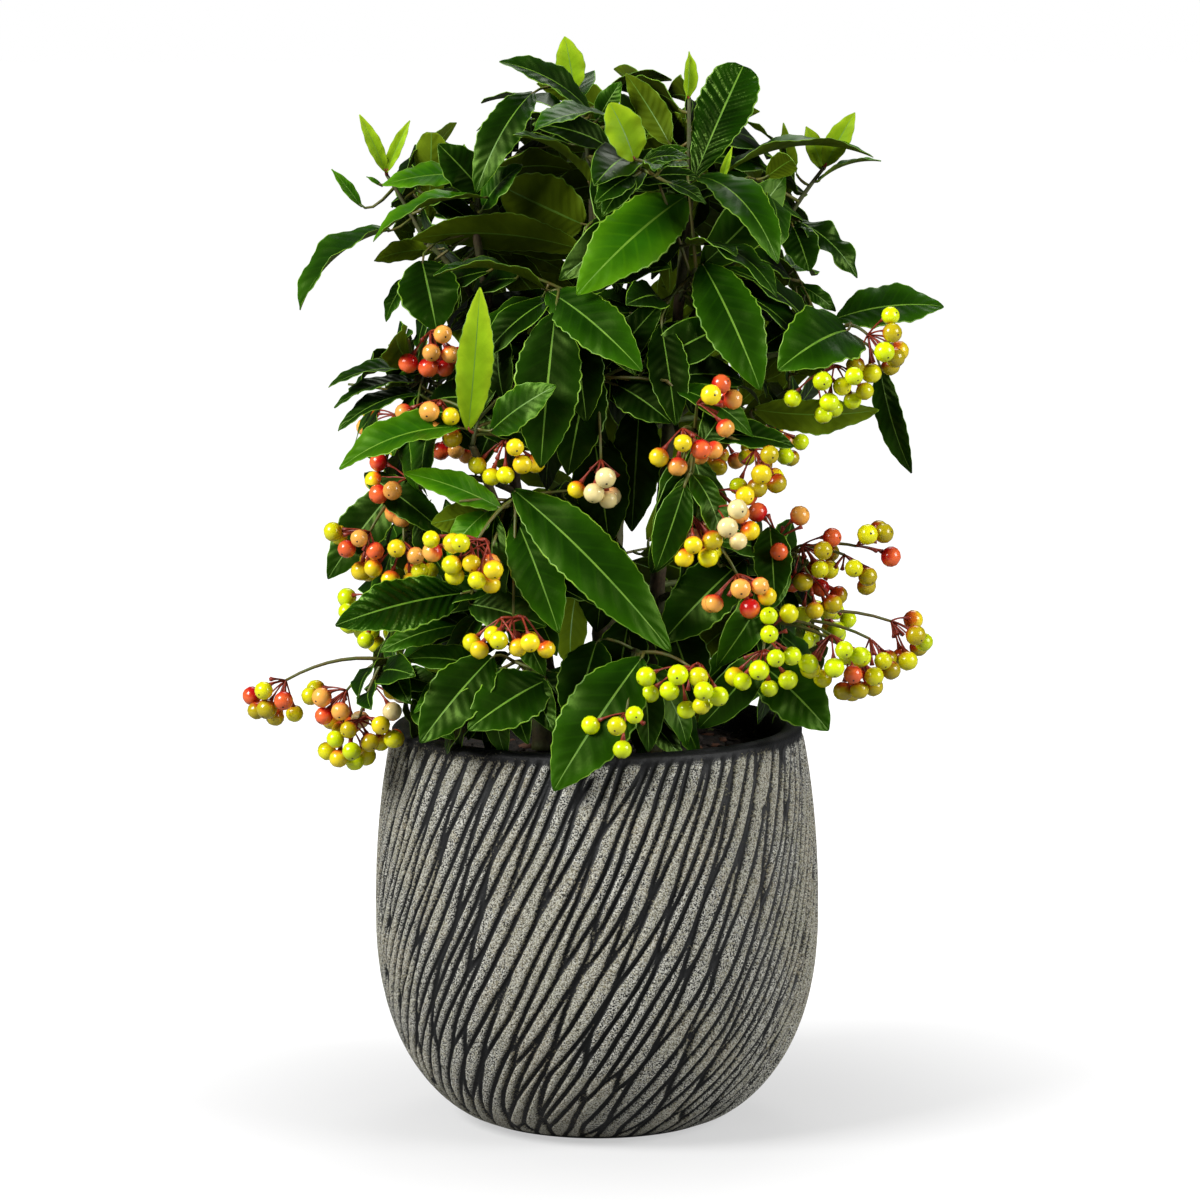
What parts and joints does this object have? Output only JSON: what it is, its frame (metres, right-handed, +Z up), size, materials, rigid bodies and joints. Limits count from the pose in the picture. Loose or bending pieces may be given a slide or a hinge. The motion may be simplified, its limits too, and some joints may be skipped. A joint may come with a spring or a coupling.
{
  "type": "potted coral ardisia",
  "caption": "Clump of leafy ardisia stems with hanging umbels of berries, in a round-bellied planter with slanting ribs.",
  "frame": {"origin": "centre of the pot's flat underside, on the surface that it stands on", "axes": "+Z up along the pot's axis, -Y out of the plant's front, its best side, and +X to the right seen from the front"},
  "size_m": [0.3485, 0.273, 0.5381],
  "materials": {
    "pot": "matte",
    "soil": "matte",
    "bark": "matte",
    "leaves": "satin",
    "fruiting": "gloss"
  },
  "bodies": {
    "root": {"pot": "pot", "soil": "soil", "stem_centre": "bark", "stem_right": "bark", "stem_left": "bark", "stem_front": "bark", "stem_back": "bark", "right_sprig_bough": "bark", "left_arch_bough": "bark", "back_top_left_bough": "bark", "back_top_right_bough": "bark", "low_centre_bough": "bark", "right_bough_bough": "bark", "right_under_bough": "bark", "left_mid_bough": "bark", "left_low_bough": "bark", "centre_fruit_bough": "bark", "centre_fruit_low_bough": "bark", "right_mid_bough": "bark", "right_low_bough": "bark", "left_lowest_bough": "bark", "skirt_centre_bough": "bark", "back_mid_left_bough": "bark", "back_mid_bough": "bark", "back_mid_right_bough": "bark", "back_low_left_bough": "bark", "back_low_bough": "bark", "back_low_right_bough": "bark", "crown_right": "leaves", "crown_centre": "leaves", "crown_left": "leaves", "crown_back": "leaves", "lime_sprig": "leaves", "right_sprig": "leaves", "left_arch": "leaves", "back_top_left": "leaves", "back_top_right": "leaves", "mid_centre": "leaves", "low_centre": "fruiting", "mid_right": "leaves", "right_bough": "fruiting", "right_under": "leaves", "front_left": "fruiting", "front_node": "fruiting", "left_mid": "fruiting", "left_low": "fruiting", "centre_fruit": "fruiting", "centre_fruit_low": "fruiting", "right_mid": "fruiting", "right_low": "fruiting", "quilt": "leaves", "left_lowest": "fruiting", "skirt_left": "leaves", "skirt_centre": "fruiting", "back_mid_left": "fruiting", "back_mid": "fruiting", "back_mid_right": "fruiting", "back_low_left": "fruiting", "back_low": "fruiting", "back_low_right": "fruiting"}
  },
  "joints": []
}
